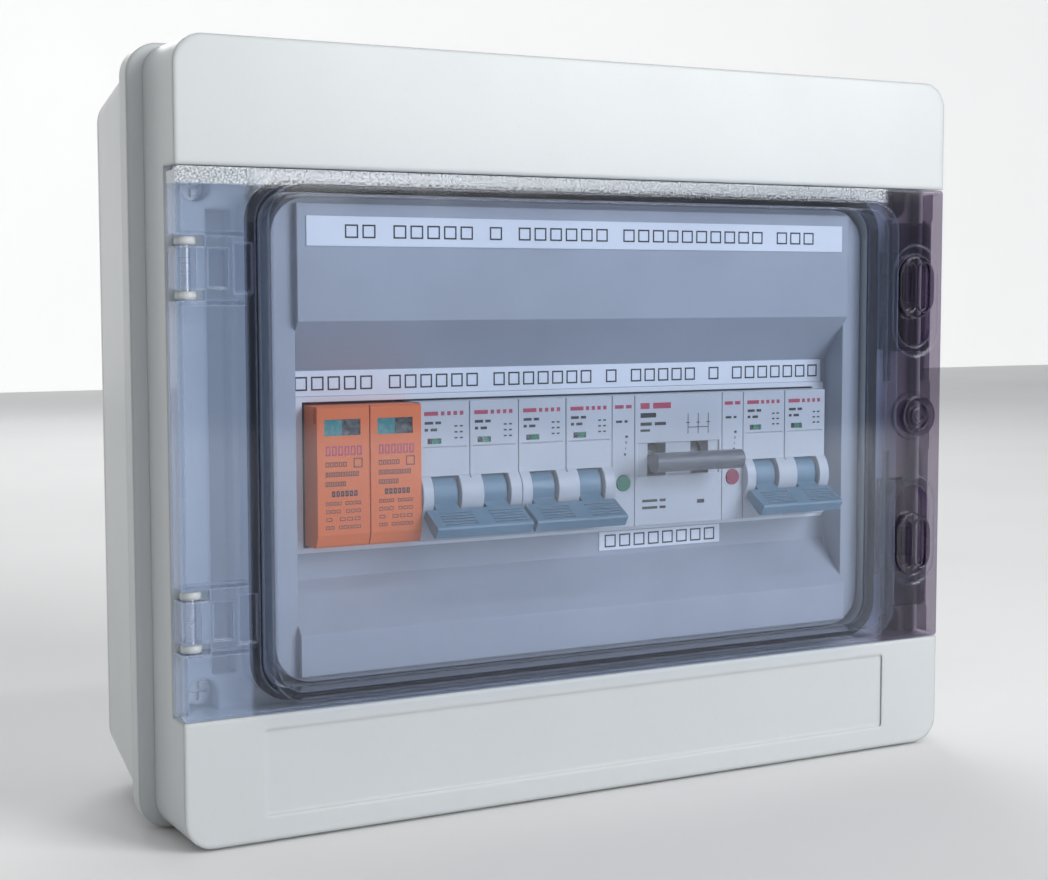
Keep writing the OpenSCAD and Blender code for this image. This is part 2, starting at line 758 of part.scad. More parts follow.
// Side outline of a device that hooks on the rail: depth and height from the row's centre
module device_outline(front) {
    n = nose_h / 2;
    b = body_half;
    f = flange_half + hook_gap;
    h0 = rail_d + rail_t + hook_gap;
    h1 = h0 + hook_t;
    polygon([
        [front, n], [front, -n], [shoulder_d, -n], [shoulder_d, -b], [h1, -b], [h1, hook - f],
        [h0, hook - f], [h0, -f], [rail_d, -f], [rail_d, f], [h0, f], [h0, f - hook],
        [h1, f - hook], [h1, b], [shoulder_d, b], [shoulder_d, n],
    ]);
}

// Terminal openings of each pole: a screw hole in the shoulder and a cable hole in the end
module terminal_holes(poles, pitch) {
    for (i = [0:poles - 1], s = [-1, 1]) {
        x = (i + 0.5) * pitch;
        peg(terminal_hole_r, shoulder_d - cut, shoulder_d + terminal_depth, x, s * terminal_z);
        post(cable_hole_r, s > 0 ? body_half - cable_hole_depth : -body_half - cut,
             s > 0 ? body_half + cut : -body_half + cable_hole_depth, x, cable_hole_d);
    }
}

module device_body(w, poles, front) {
    difference() {
        side_profile(side_gap, w - side_gap) device_outline(front);
        terminal_holes(poles, w / poles);
    }
}

// Places of the poles that have terminals: modules from the left, and pole pitch in modules
POLES = concat(
    [for (m = [spd_1_x, spd_2_x]) m + 0.5],
    [for (m = [mcb_1_x, mcb_2_x, mcb_3_x, change_x], i = [0, 1]) m + i + 0.5],
    [for (m = [green_x, red_x]) m + 0.25]
);

module terminal_screws() {
    color([0.78, 0.77, 0.74]) for (m = POLES, s = [-1, 1]) {
        x = mx(m);
        z = row_z + s * terminal_z;
        difference() {
            peg(terminal_screw_r, shoulder_d + 5, shoulder_d + terminal_depth, x, z);
            block(x - 3, x + 3, z - 0.5, z + 0.5, shoulder_d + 4, shoulder_d + 6.2);
        }
    }
}

// ---- Breaker

flag_w = 4.9;
flag_h = 1.8;
flag_x = 2.9;
flag_z = 9.7;
module mcb_body() {
    w = 2 * module_w;
    color([0.9, 0.91, 0.93]) difference() {
        union() {
            device_body(w, 2, nose_d);
            side_profile(side_gap, w - side_gap) translate([pivot_d, pivot_z]) circle(hump_r);
        }
        for (i = [0, 1]) translate([i * module_w + slot_in, 0, 0]) {
            roller(pocket_r, 0, slot_w, pivot_d, pivot_z);
            block(0, slot_w, pivot_z - slot_half, pivot_z + slot_half, 0, pivot_d);
            roller(axle_r + 0.1, -2.5, slot_w + 2.5, pivot_d, pivot_z);
        }
        roller(axle_r + 0.1, slot_in, module_w + slot_in + slot_w, pivot_d, pivot_z);
        for (i = [0, 1]) translate([i * module_w, 0, 0]) {
            block(flag_x, flag_x + flag_w, flag_z - flag_h / 2, flag_z + flag_h / 2, nose_d - cut, nose_d + 1.2);
            block(1.2, module_w - 1.2, 7.6, 7.9, nose_d - cut, nose_d + 0.4);
        }
        block(module_w - 0.2, module_w + 0.2, -nose_h, nose_h, nose_d - cut, nose_d + 0.5);
    }
}

module mcb_flags() {
    for (i = [0, 1]) translate([i * module_w, 0, 0]) {
        color([0.05, 0.35, 0.2])
            block(flag_x, flag_x + flag_w, flag_z - flag_h / 2, flag_z + flag_h / 2, nose_d + 0.5, nose_d + 1.2);
    }
}

// Arm and grip drawn along the depth axis and turned down to rest
module mcb_toggle() {
    color([0.55, 0.65, 0.74]) translate([0, fy(pivot_d), pivot_z]) rotate([-toggle_rest, 0, 0]) {
        for (i = [0, 1]) translate([i * module_w + slot_in + (slot_w - drum_w) / 2, 0, 0]) {
            rotate([0, 90, 0]) cylinder(r = drum_r, h = drum_w);
            translate([0, -grip_from - 1, -arm_t / 2]) cube([drum_w, grip_from + 1, arm_t]);
        }
        translate([slot_in - 2, 0, 0]) rotate([0, 90, 0]) cylinder(r = axle_r, h = module_w + slot_w + 4);
        difference() {
            translate([0.8, 0, 0]) rotate([90, 0, 90]) linear_extrude(grip_w) grip_outline();
            for (i = [0, 1], k = [0:4]) translate([i * module_w + 4, -grip_to + 1.2 + k * 1.5, 1.2])
                cube([module_w - 6, 0.6, 2]);
        }
    }
}

// Side outline of the grip: it thickens a little towards its tip
module grip_outline() {
    polygon([
        [-grip_from, arm_t / 2], [-grip_to, arm_t / 2 + 0.7], [-grip_to - 0.5, arm_t / 2 + 0.2],
        [-grip_to - 0.5, -arm_t / 2], [-grip_to, -arm_t / 2 - 0.5], [-grip_from, -arm_t / 2],
    ]);
}

module mcb_1_body() { in_row(mcb_1_x) mcb_body(); }
module mcb_2_body() { in_row(mcb_2_x) mcb_body(); }
module mcb_3_body() { in_row(mcb_3_x) mcb_body(); }
module mcb_1_flags() { in_row(mcb_1_x) mcb_flags(); }
module mcb_2_flags() { in_row(mcb_2_x) mcb_flags(); }
module mcb_3_flags() { in_row(mcb_3_x) mcb_flags(); }
module mcb_1_toggle() { in_row(mcb_1_x) mcb_toggle(); }
module mcb_2_toggle() { in_row(mcb_2_x) mcb_toggle(); }
module mcb_3_toggle() { in_row(mcb_3_x) mcb_toggle(); }

// ---- Pilot lamp

module lamp_body() {
    w = module_w / 2;
    color([0.9, 0.91, 0.93]) difference() {
        device_body(w, 1, nose_d);
        peg(lamp_r + 0.1, nose_d - cut, nose_d + 5, w / 2, lamp_z);
    }
}

module lamp_lens() {
    peg(lamp_r, nose_d - 0.4, nose_d + 5, module_w / 4, lamp_z);
}

module green_lamp_body() { in_row(green_x) lamp_body(); }
module green_lamp_lens() { color([0.02, 0.45, 0.3]) in_row(green_x) lamp_lens(); }
module red_lamp_body() { in_row(red_x) lamp_body(); }
module red_lamp_lens() { color([0.5, 0.08, 0.15]) in_row(red_x) lamp_lens(); }

// ---- Changeover switch

module changeover_body() {
    w = 2 * module_w;
    color([0.86, 0.87, 0.9]) in_row(change_x) difference() {
        device_body(w, 2, nose_d);
        for (x = handle_slot_x) {
            block(x - handle_slot_w / 2, x + handle_slot_w / 2, handle_z - handle_slot_half,
                  handle_z + handle_slot_half, nose_d - cut, handle_d);
            roller(handle_pocket_r, x - handle_slot_w / 2, x + handle_slot_w / 2, handle_d, handle_z);
        }
        roller(axle_r + 0.1, handle_slot_x[0] - 5.7, handle_slot_x[1] + 5.7, handle_d, handle_z);
        block(1.2, w - 1.2, handle_z - handle_slot_half, handle_z + handle_slot_half, nose_d - cut, nose_d + 0.5);
    }
}

module changeover_handle() {
    w = 2 * module_w;
    color([0.45, 0.49, 0.54]) in_row(change_x) {
        roller(handle_bar_r, 0.3, w - 0.3, handle_bar_d, handle_z);
        roller(axle_r, handle_slot_x[0] - 5, handle_slot_x[1] + 5, handle_d, handle_z);
        for (x = handle_slot_x) {
            roller(handle_drum_r - 0.6, x - handle_arm_w / 2, x + handle_arm_w / 2, handle_d, handle_z);
            block(x - handle_arm_w / 2, x + handle_arm_w / 2, handle_z - handle_arm_t / 2,
                  handle_z + handle_arm_t / 2, handle_bar_d, handle_d);
        }
    }
}

// ---- Surge protector: a base with two cartridges that pull out

module spd_base() {
    w = 2 * module_w;
    color([0.3, 0.32, 0.35]) in_row(spd_1_x) difference() {
        device_body(w, 2, shoulder_d - 4);
        block(1.2, w - 1.2, -cart_h / 2 - 0.4, cart_h / 2 + 0.4, 0, cart_back_d + 0.4);
        for (i = [0, 1], s = [-1, 1]) translate([(i + 0.5) * module_w, 0, s * blade_z])
            block(-blade_t / 2 - 0.3, blade_t / 2 + 0.3, -blade_h / 2 - 0.3, blade_h / 2 + 0.3, cart_back_d - cut,
                  cart_back_d + blade_len + 0.6);
        post(cable_hole_r, -body_half - cut, -body_half + cable_hole_depth, module_w, earth_hole_d);
    }
}

cart_gap = 0.3;
head_back_d = shoulder_d - 4 - cart_gap;
view_x0 = 2.6;                      // left and right edges of the status window
view_x1 = module_w - 3.2;
module cartridge(i) {
    h = cart_h / 2;
    x0 = (i > 0 ? 0 : 1.2) + cart_gap;
    x1 = module_w - (i > 0 ? 1.2 : 0) - cart_gap;
    color([0.9, 0.38, 0.12]) in_row(i) difference() {
        union() {
            side_profile(0.2, module_w - 0.2) polygon([
                [cart_d, h - 0.6], [cart_d, 4 - h], [cart_d + 1.2, 0.8 - h], [cart_d + 2, -h],
                [head_back_d, -h], [head_back_d, h], [cart_d + 0.6, h],
            ]);
            block(x0, x1, -h, h, head_back_d - eps, cart_back_d);
        }
        block(view_x0, view_x1, 12.9, 18, cart_d - cut, cart_d + 1);
        for (x = [0, module_w]) block(x - 1.3, x + 1.3, h - 5.5, h + cut, cart_d + 1.2, cart_d + 3);
    }
}

// Status window let into the front of a cartridge
module cartridge_window(i) {
    color([0.25, 0.5, 0.5]) in_row(i) block(view_x0, view_x1, 12.9, 18, cart_d + 0.3, cart_d + 1);
}

module cartridge_blades(i) {
    color([0.8, 0.72, 0.55]) in_row(i) for (s = [-1, 1]) translate([module_w / 2, 0, s * blade_z])
        block(-blade_t / 2, blade_t / 2, -blade_h / 2, blade_h / 2, cart_back_d, cart_back_d + blade_len);
}

module spd_cartridge_1() { cartridge(0); }
module spd_cartridge_2() { cartridge(1); }
module spd_window_1() { cartridge_window(0); }
module spd_window_2() { cartridge_window(1); }
module spd_blades_1() { cartridge_blades(0); }
module spd_blades_2() { cartridge_blades(1); }

// ==== Wires ====

bend_r = 6;

// Quarter of a ring, from its own X axis round to its Y axis
module quarter_bend() {
    rotate_extrude(angle = 90) translate([bend_r, 0]) circle(wire_r);
}

// Wire below the row that joins the terminals at x0 and x1
module jumper(x0, x1, drop, d) {
    z0 = row_z - body_half + cable_hole_depth;
    z1 = row_z - body_half - drop;
    for (x = [x0, x1]) post(wire_r, z1, z0, x, d);
    translate([0, fy(d), z1]) rotate([90, 0, 0]) {
        translate([x0 + bend_r, 0]) rotate([0, 0, 180]) quarter_bend();
        translate([x1 - bend_r, 0]) rotate([0, 0, 270]) quarter_bend();
    }
    roller(wire_r, x0 + bend_r, x1 - bend_r, d, z1 - bend_r);
}

module line_wires() {
    color([0.35, 0.2, 0.12]) {
        jumper(mx(spd_1_x + 0.5), mx(mcb_1_x + 0.5), 4, cable_hole_d);
        jumper(mx(mcb_2_x + 0.5), mx(change_x + 0.5), 4, cable_hole_d);
        jumper(mx(change_x + 1.5), mx(mcb_3_x + 0.5), 4, cable_hole_d);
    }
}

// Neutral poles: each wire goes up and steps back to the bar
module neutral_wires() {
    color([0.1, 0.25, 0.6]) for (m = [mcb_1_x + 1.5, mcb_2_x + 1.5])
        wire_to_bar(mx(m), row_z + body_half - cable_hole_depth, neutral_bar_z - 4, 1, cable_hole_d);
}

module earth_wire() {
    color([0.35, 0.6, 0.15])
        wire_to_bar(mx(spd_2_x), row_z - body_half + cable_hole_depth, earth_bar_z + 4, -1, earth_hole_d);
}

// Wire from a terminal at height z0 to the side of a bar at z1: s is +1 upwards, -1 downwards
module wire_to_bar(x, z0, z1, s, d) {
    run = bar_d + 4 - d;
    rise = abs(z1 - z0) - 2 * bend_r - 4;
    translate([x, fy(d), z0]) mirror([0, 0, s < 0 ? 1 : 0]) {
        cylinder(r = wire_r, h = rise);
        translate([0, 0, rise]) rotate([90, 0, 90]) {
            translate([bend_r, 0]) rotate([0, 0, 90]) quarter_bend();
            translate([bend_r, bend_r]) rotate([0, 90, 0]) cylinder(r = wire_r, h = run - 2 * bend_r);
            translate([run - bend_r, 2 * bend_r]) rotate([0, 0, 270]) quarter_bend();
        }
        translate([0, run, rise + 2 * bend_r]) cylinder(r = wire_r, h = 4);
    }
}

base_flange();
base_sides();
base_back();
screw_posts();
base_gasket();
entry_plugs();
front_cover();
cover_screws();
inner_panel();
aperture_trim();
title_label();
circuit_label();
switch_label();
din_rail();
rail_screws();
neutral_bar();
neutral_bar_holders();
neutral_bar_screws();
earth_bar();
earth_bar_holders();
earth_bar_screws();
spd_base();
spd_cartridge_1();
spd_window_1();
spd_blades_1();
spd_cartridge_2();
spd_window_2();
spd_blades_2();
mcb_1_body();
mcb_1_flags();
mcb_1_toggle();
mcb_2_body();
mcb_2_flags();
mcb_2_toggle();
mcb_3_body();
mcb_3_flags();
mcb_3_toggle();
green_lamp_body();
green_lamp_lens();
red_lamp_body();
red_lamp_lens();
changeover_body();
changeover_handle();
terminal_screws();
line_wires();
neutral_wires();
earth_wire();
hinge_pins();
door();
door_gasket();
lock_plug();
upper_latch();
lower_latch();
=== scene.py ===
"""Looks of the distribution box: materials for its CAD pieces, printed marks, camera and studio light."""

import json
import math

import bmesh
import bpy
from mathutils import Matrix, Vector


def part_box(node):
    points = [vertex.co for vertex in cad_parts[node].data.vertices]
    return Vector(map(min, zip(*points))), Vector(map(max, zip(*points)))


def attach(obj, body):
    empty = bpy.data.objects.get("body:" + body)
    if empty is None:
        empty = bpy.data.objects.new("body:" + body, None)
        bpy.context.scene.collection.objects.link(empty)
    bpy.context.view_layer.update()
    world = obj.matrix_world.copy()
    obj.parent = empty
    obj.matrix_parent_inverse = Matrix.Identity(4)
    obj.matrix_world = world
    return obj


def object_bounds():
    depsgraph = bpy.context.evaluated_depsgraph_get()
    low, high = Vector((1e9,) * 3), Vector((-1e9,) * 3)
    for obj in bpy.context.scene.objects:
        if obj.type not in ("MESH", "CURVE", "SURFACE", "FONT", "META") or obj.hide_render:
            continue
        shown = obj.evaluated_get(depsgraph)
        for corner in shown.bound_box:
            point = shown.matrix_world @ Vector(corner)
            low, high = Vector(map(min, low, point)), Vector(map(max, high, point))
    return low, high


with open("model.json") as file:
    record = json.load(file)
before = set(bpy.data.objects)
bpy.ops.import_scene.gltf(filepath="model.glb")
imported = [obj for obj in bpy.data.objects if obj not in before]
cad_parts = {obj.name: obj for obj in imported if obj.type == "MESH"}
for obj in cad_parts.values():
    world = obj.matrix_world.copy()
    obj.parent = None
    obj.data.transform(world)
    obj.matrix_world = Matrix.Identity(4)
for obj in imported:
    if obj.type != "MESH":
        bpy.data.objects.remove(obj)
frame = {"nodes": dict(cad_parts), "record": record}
NODES = frame["nodes"]
CAD_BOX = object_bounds()
ROOT = "enclosure"                  # the fixed body
MM = 0.001
MODULE = 18 * MM                    # width of one device module


def middle(node):
    """Centre of a CAD node's box."""
    low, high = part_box(node)
    return (Vector(low) + Vector(high)) / 2


# ---- Camera: the photograph's viewing direction, worked out on the box's own edges

CAMERA_AT = Vector((-0.3098, -0.6083, 0.0447))
AZIMUTH = math.radians(-28.61)
DOWN = math.radians(4.55)
ROLL = math.radians(-0.11)
LENS_MM = 62.27
SENSOR_MM = 36
NEAREST = 0.01                      # metres; nothing nearer is drawn


def make_camera():
    level = math.cos(DOWN)
    forward = Vector((-math.sin(AZIMUTH) * level, math.cos(AZIMUTH) * level, -math.sin(DOWN)))
    right = Vector((math.cos(AZIMUTH), math.sin(AZIMUTH), 0))
    up = right.cross(forward)
    turn = Matrix((right, up, -forward)).transposed() @ Matrix.Rotation(ROLL, 3, "Z")
    data = bpy.data.cameras.new("camera")
    data.lens = LENS_MM
    data.sensor_width = SENSOR_MM
    data.sensor_fit = "HORIZONTAL"
    data.clip_start = NEAREST
    camera = bpy.data.objects.new("camera", data)
    camera.matrix_world = Matrix.Translation(CAMERA_AT) @ turn.to_4x4()
    bpy.context.scene.collection.objects.link(camera)
    bpy.context.scene.camera = camera


# ---- Node trees

NOISE_ROUGHNESS = 0.55
BEVEL_SAMPLES = 6
SHARP_EDGE = 0.86                   # cosine between the rounded and the true normal on a sharp edge
PLASTIC_IOR = 1.5
STRIPE_HALF = 0.8 * MM              # half the width of the stripe along a wire


class Tree:
    """A material's node tree, with short calls to add and link nodes."""

    def __init__(self, name):
        self.material = bpy.data.materials.new(name)
        self.material.use_nodes = True
        self.tree = self.material.node_tree
        self.tree.nodes.clear()
        self.out = self.tree.nodes.new("ShaderNodeOutputMaterial")
        self.coord = self.add("ShaderNodeTexCoord").outputs["Object"]

    def add(self, kind, values=None, **settings):
        """A new node: values go to its sockets, or are linked to them, and settings to its properties."""
        node = self.tree.nodes.new(kind)
        for key, value in settings.items():
            setattr(node, key, value)
        for key, value in (values or {}).items():
            if isinstance(value, bpy.types.NodeSocket):
                self.tree.links.new(value, node.inputs[key])
            else:
                node.inputs[key].default_value = value
        return node

    def axis(self, name):
        """One coordinate of the point being shaded, in metres."""
        return self.add("ShaderNodeSeparateXYZ", {"Vector": self.coord}).outputs[name]

    def noise(self, scale, detail=3.0, stretch=None):
        """Noise of so many cells per metre: 22 gives patches of 45 mm, 1500 a grain of 0.7 mm."""
        vector = self.coord
        if stretch:
            vector = self.add("ShaderNodeMapping", {"Vector": self.coord, "Scale": stretch}).outputs["Vector"]
        values = {"Vector": vector, "Scale": scale, "Detail": detail, "Roughness": NOISE_ROUGHNESS}
        return self.add("ShaderNodeTexNoise", values).outputs["Fac"]

    def remap(self, value, low, high, to_low=0.0, to_high=1.0):
        values = {"Value": value, "From Min": low, "From Max": high, "To Min": to_low, "To Max": to_high}
        return self.add("ShaderNodeMapRange", values).outputs["Result"]

    def math(self, operation, a, b=0.0):
        return self.add("ShaderNodeMath", {0: a, 1: b}, operation=operation).outputs["Value"]

    def blend(self, share, a, b):
        """Colour a where share is 0, b where it is 1."""
        node = self.add("ShaderNodeMix", data_type="RGBA")
        for socket, value in (("Factor_Float", share), ("A_Color", a), ("B_Color", b)):
            target = next(s for s in node.inputs if s.identifier == socket)
            if isinstance(value, bpy.types.NodeSocket):
                self.tree.links.new(value, target)
            else:
                target.default_value = value
        return next(s for s in node.outputs if s.identifier == "Result_Color")

    def bump(self, height, strength, distance, normal=None):
        values = {"Height": height, "Strength": strength, "Distance": distance}
        if normal is not None:
            values["Normal"] = normal
        return self.add("ShaderNodeBump", values).outputs["Normal"]

    def finish(self, shader):
        self.tree.links.new(shader, self.out.inputs["Surface"])
        return self.material

    def finish_principled(self, values):
        return self.finish(self.add("ShaderNodeBsdfPrincipled", values).outputs["BSDF"])


def rgb(colour, gain=1.0):
    return (*(min(1.0, c * gain) for c in colour), 1.0)


def edge_mask(tree, radius):
    """1 on sharp edges, 0 on flat faces, and the rounded normal."""
    bevel = tree.add("ShaderNodeBevel", {"Radius": radius}, samples=BEVEL_SAMPLES)
    normal = tree.add("ShaderNodeNewGeometry").outputs["Normal"]
    dot = tree.add("ShaderNodeVectorMath", {0: bevel.outputs["Normal"], 1: normal}, operation="DOT_PRODUCT")
    return tree.remap(dot.outputs["Value"], 1.0, SHARP_EDGE), bevel.outputs["Normal"]


def moulded(name, colour, rough=0.42, tone=0.05, grain=0.2, pore=1500.0, edge=0.35, wear_and_highlight=0.25, uneven=0.06):
    """Injection-moulded plastic: faint mottling, a fine grain, and edges a little lighter, partly worn and
    partly a painted highlight.

    tone is how far the mottling goes to each side of the colour, grain and pore are the strength and
    scale of the grain, edge is the rounding of the edges in mm, wear_and_highlight how far they are
    lightened, as worn edges and as a painted highlight, and uneven how far the gloss varies.
    """
    tree = Tree(name)
    mottle = tree.remap(tree.noise(22.0, 4.0), 0.35, 0.65)
    base = tree.blend(mottle, rgb(colour, 1 - tone), rgb(colour, 1 + tone))
    dust = tree.remap(tree.noise(420.0, 2.0), 0.62, 0.74, 0.0, 0.12)
    base = tree.blend(dust, base, rgb(colour, 0.8))
    mask, rounded = edge_mask(tree, edge * MM)
    # sharp edges lightened: partly worn, partly a painted highlight
    rubbed_and_highlit = tree.remap(tree.noise(260.0, 3.0), 0.38, 0.62, 0.2 * wear_and_highlight, wear_and_highlight)
    base = tree.blend(tree.math("MULTIPLY", mask, rubbed_and_highlit), base, rgb([0.25 + 0.8 * c for c in colour]))
    smear = tree.noise(55.0, 3.0, stretch=(1.0, 1.0, 0.35))
    shine = tree.remap(smear, 0.35, 0.65, rough - uneven, rough + uneven)
    fine = tree.bump(tree.noise(pore, 2.0), grain, 0.12 * MM, rounded)
    wave = tree.bump(tree.noise(14.0, 1.0), 0.12, 1.5 * MM, fine)
    return tree.finish_principled({"Base Color": base, "Roughness": shine, "Normal": wave,
                                   "IOR": PLASTIC_IOR})


def metal(name, colour, brush=(1.0, 1.0, 40.0), tarnish=0.25):
    """Plated or brushed metal with drawn streaks and duller patches."""
    tree = Tree(name)
    streak = tree.noise(90.0, 3.0, stretch=brush)
    patch = tree.remap(tree.noise(160.0, 3.0), 0.4, 0.7)
    base = tree.blend(tree.math("MULTIPLY", patch, tarnish), rgb(colour), rgb(colour, 0.55))
    drawn = tree.remap(streak, 0.3, 0.7, 0.22, 0.42)
    shine = tree.math("ADD", drawn, tree.math("MULTIPLY", patch, 0.1))
    mask, rounded = edge_mask(tree, 0.2 * MM)
    # sharp edges drawn lighter: partly worn, partly a painted highlight
    base = tree.blend(tree.math("MULTIPLY", mask, 0.5), base, rgb(colour, 1.25))
    normal = tree.bump(streak, 0.25, 0.08 * MM, rounded)
    return tree.finish_principled({"Base Color": base, "Metallic": 1.0, "Roughness": shine, "Normal": normal})


def rubber(name, colour):
    """Dull rubber with a paler bloom in patches."""
    tree = Tree(name)
    bloom = tree.remap(tree.noise(180.0, 4.0), 0.45, 0.7, 0.0, 0.5)
    base = tree.blend(bloom, rgb(colour), rgb(colour, 2.2))
    normal = tree.bump(tree.noise(900.0), 0.35, 0.2 * MM)
    return tree.finish_principled({"Base Color": base, "Roughness": 0.78, "Normal": normal})


def print_ink(name, colour):
    """Printed marks: slightly uneven ink."""
    tree = Tree(name)
    thin = tree.remap(tree.noise(1200.0, 3.0), 0.55, 0.75, 0.0, 0.35)
    base = tree.blend(thin, rgb(colour), rgb([0.2 + 0.75 * c for c in colour]))
    shine = tree.remap(tree.noise(700.0), 0.3, 0.7, 0.4, 0.6)
    return tree.finish_principled({"Base Color": base, "Roughness": shine})


def cable_sheath(name, colour, stripe=None, centre=0.0):
    """Wire insulation, with a stripe along its X centre where one is given."""
    tree = Tree(name)
    base = tree.blend(tree.remap(tree.noise(120.0), 0.35, 0.65), rgb(colour, 0.9), rgb(colour, 1.1))
    if stripe:
        away = tree.math("ABSOLUTE", tree.math("SUBTRACT", tree.axis("X"), centre))
        base = tree.blend(tree.math("LESS_THAN", away, STRIPE_HALF), base, rgb(stripe))
    normal = tree.bump(tree.noise(1500.0), 0.15, 0.1 * MM)
    return tree.finish_principled({"Base Color": base, "Roughness": 0.45, "Normal": normal})


def status_window(node, left, right):
    """Window over a two-part status flag: one colour on each side of its middle."""
    tree = Tree(node)
    side = tree.math("GREATER_THAN", tree.axis("X"), middle(node).x)
    cloudy = tree.remap(tree.noise(500.0, 3.0), 0.4, 0.7, 0.0, 0.3)
    base = tree.blend(cloudy, tree.blend(side, rgb(left), rgb(right)), rgb((0.45, 0.5, 0.5)))
    return tree.finish_principled({"Base Color": base, "Roughness": 0.12, "IOR": PLASTIC_IOR,
                                   "Coat Weight": 0.6, "Coat Roughness": 0.05})


def breaker_flags(name, dark_part):
    """Contact flags in their windows, black then green, once per pole."""
    tree = Tree(name)
    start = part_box("mcb_1_flags")[0][0] - 0.1 * MM
    along = tree.math("FRACT", tree.math("DIVIDE", tree.math("SUBTRACT", tree.axis("X"), start), MODULE))
    green_side = tree.math("GREATER_THAN", along, dark_part / MODULE)
    base = tree.blend(green_side, rgb((0.012, 0.014, 0.016)), rgb((0.01, 0.2, 0.1)))
    base = tree.blend(tree.remap(tree.noise(900.0), 0.5, 0.8, 0.0, 0.25), base, rgb((0.3, 0.33, 0.33)))
    return tree.finish_principled({"Base Color": base, "Roughness": 0.18,
                                   "Coat Weight": 0.5, "Coat Roughness": 0.06})


SKIN_HAZE = 0.012                   # share of the light that one clear skin scatters
EDGE_PAINTED_HIGHLIGHT = 0.2                     # painted highlight: the share a rounded edge adds, a paler veil drawn on the lens's edges
PAINTED_LIGHT_HAZE = 0.15                    # painted light: what is added on the strip beside the hinges, which lies in shade, to brighten it
# bluish colour of the painted light on that shaded strip
PAINTED_LIGHT_COLOUR = (0.5, 0.62, 0.85)
# painted highlight: colour of the bright grainy veil on the strip above the lens
PAINTED_HIGHLIGHT_COLOUR = (0.8, 0.84, 0.86)
MIRROR_FACING = 0.03                # share that is mirrored straight on, and what a glance adds
MIRROR_GLANCE = 0.9
STRIP_BLUR = 1 * MM                 # how softly one strip passes into the next


def smoked(name, clear, dark, haze, strips=None, frame_z=None):
    """Smoked see-through plastic: tinted, mirror-like at a glance, greyer seen edge-on.

    clear is what one skin lets through. strips are two X values: left of the first a bluish painted light
    brightens the shaded strip, and right of the second the tint is darkened as painted shade. frame_z is
    where the strip above the lens starts that carries a grainy painted highlight.
    """
    tree = Tree(name)
    mottle = tree.remap(tree.noise(35.0, 2.0), 0.35, 0.65)
    tint = tree.blend(mottle, rgb(clear, 0.992), rgb(clear, 1.008))
    mask, rounded = edge_mask(tree, 1.1 * MM)
    # skin haze, plus a painted highlight on rounded edges
    haze_and_painted_light = tree.math("ADD", SKIN_HAZE, tree.math("MULTIPLY", mask, EDGE_PAINTED_HIGHLIGHT))
    veil = rgb(haze)
    if strips:
        left, right = strips
        # painted light: bluish veil left of the first X, on the strip that lies in shade
        painted_light_side = tree.remap(tree.axis("X"), left, left - STRIP_BLUR)
        # painted shade: the tint is darkened right of the second X
        painted_shade_side = tree.remap(tree.axis("X"), right - STRIP_BLUR, right + STRIP_BLUR)
        # painted highlight: grainy bright veil on the strip above the lens, not on the dark right side
        above = tree.remap(tree.axis("Z"), frame_z - STRIP_BLUR / 2, frame_z)
        highlight_strip = tree.math("MULTIPLY", above, tree.math("SUBTRACT", 1.0, painted_shade_side))
        painted_highlight = tree.math("MULTIPLY", highlight_strip, tree.remap(tree.noise(1400.0, 2.0), 0.42, 0.58, 0.05, 0.6))
        tint = tree.blend(painted_shade_side, tint, rgb(dark))
        veil = tree.blend(highlight_strip, tree.blend(painted_light_side, veil, rgb(PAINTED_LIGHT_COLOUR)), rgb(PAINTED_HIGHLIGHT_COLOUR))
        haze_and_painted_light = tree.math("ADD", haze_and_painted_light, tree.math("MULTIPLY", painted_light_side, PAINTED_LIGHT_HAZE))
        haze_and_painted_light = tree.math("ADD", haze_and_painted_light, painted_highlight)
    facing = tree.add("ShaderNodeLayerWeight", {"Blend": 0.5}).outputs["Facing"]
    tint = tree.blend(tree.remap(facing, 0.62, 0.98), tint, rgb(dark, 0.6))
    through = tree.add("ShaderNodeBsdfTransparent", {"Color": tint})
    body = tree.add("ShaderNodeBsdfDiffuse", {"Color": veil})
    inside = tree.add("ShaderNodeMixShader", {0: haze_and_painted_light, 1: through.outputs["BSDF"], 2: body.outputs["BSDF"]})
    scratches = tree.noise(700.0, 3.0, stretch=(1.0, 1.0, 0.04))
    normal = tree.bump(scratches, 0.04, 0.05 * MM, rounded)
    shine = tree.remap(tree.noise(40.0, 3.0), 0.35, 0.7, 0.05, 0.08)
    gloss = tree.add("ShaderNodeBsdfAnisotropic",
                     {"Color": (1, 1, 1, 1), "Roughness": shine, "Normal": normal})
    glance = tree.math("MULTIPLY", MIRROR_GLANCE, tree.math("POWER", facing, 5.0))
    mirror = tree.math("ADD", MIRROR_FACING, glance)
    skin = tree.add("ShaderNodeMixShader", {0: mirror, 1: inside.outputs["Shader"], 2: gloss.outputs["BSDF"]})
    return tree.finish(skin.outputs["Shader"])


# ---- Materials by the record's slots

GASKET_LOW, GASKET_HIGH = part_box("door_gasket")      # runs round the lens


